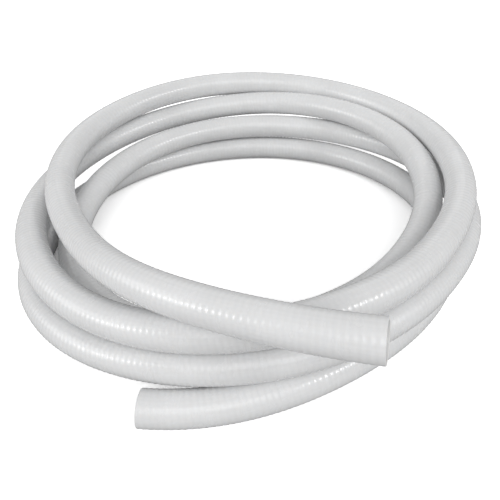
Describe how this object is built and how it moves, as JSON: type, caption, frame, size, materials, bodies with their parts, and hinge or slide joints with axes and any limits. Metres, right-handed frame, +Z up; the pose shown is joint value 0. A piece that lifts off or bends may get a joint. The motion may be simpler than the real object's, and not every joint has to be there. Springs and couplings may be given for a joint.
{
  "type": "flexible pvc hose",
  "caption": "Length of white flexible PVC hose with a ribbed wall and square-cut open ends, lying in a loose coil; carries water to pumps, tubs and ponds.",
  "frame": {"origin": "on the floor, at the middle of the coil's box", "axes": "+Z up out of the floor, along the coil's axis; -Y towards the side where both cut ends lie; +X to the right seen from there"},
  "size_m": [0.7916, 0.8652, 0.2132],
  "materials": {
    "white_pvc": "satin white flexible PVC with fine moulded-in ribs round it"
  },
  "bodies": {
    "root": {"hose": "white_pvc"}
  },
  "joints": []
}
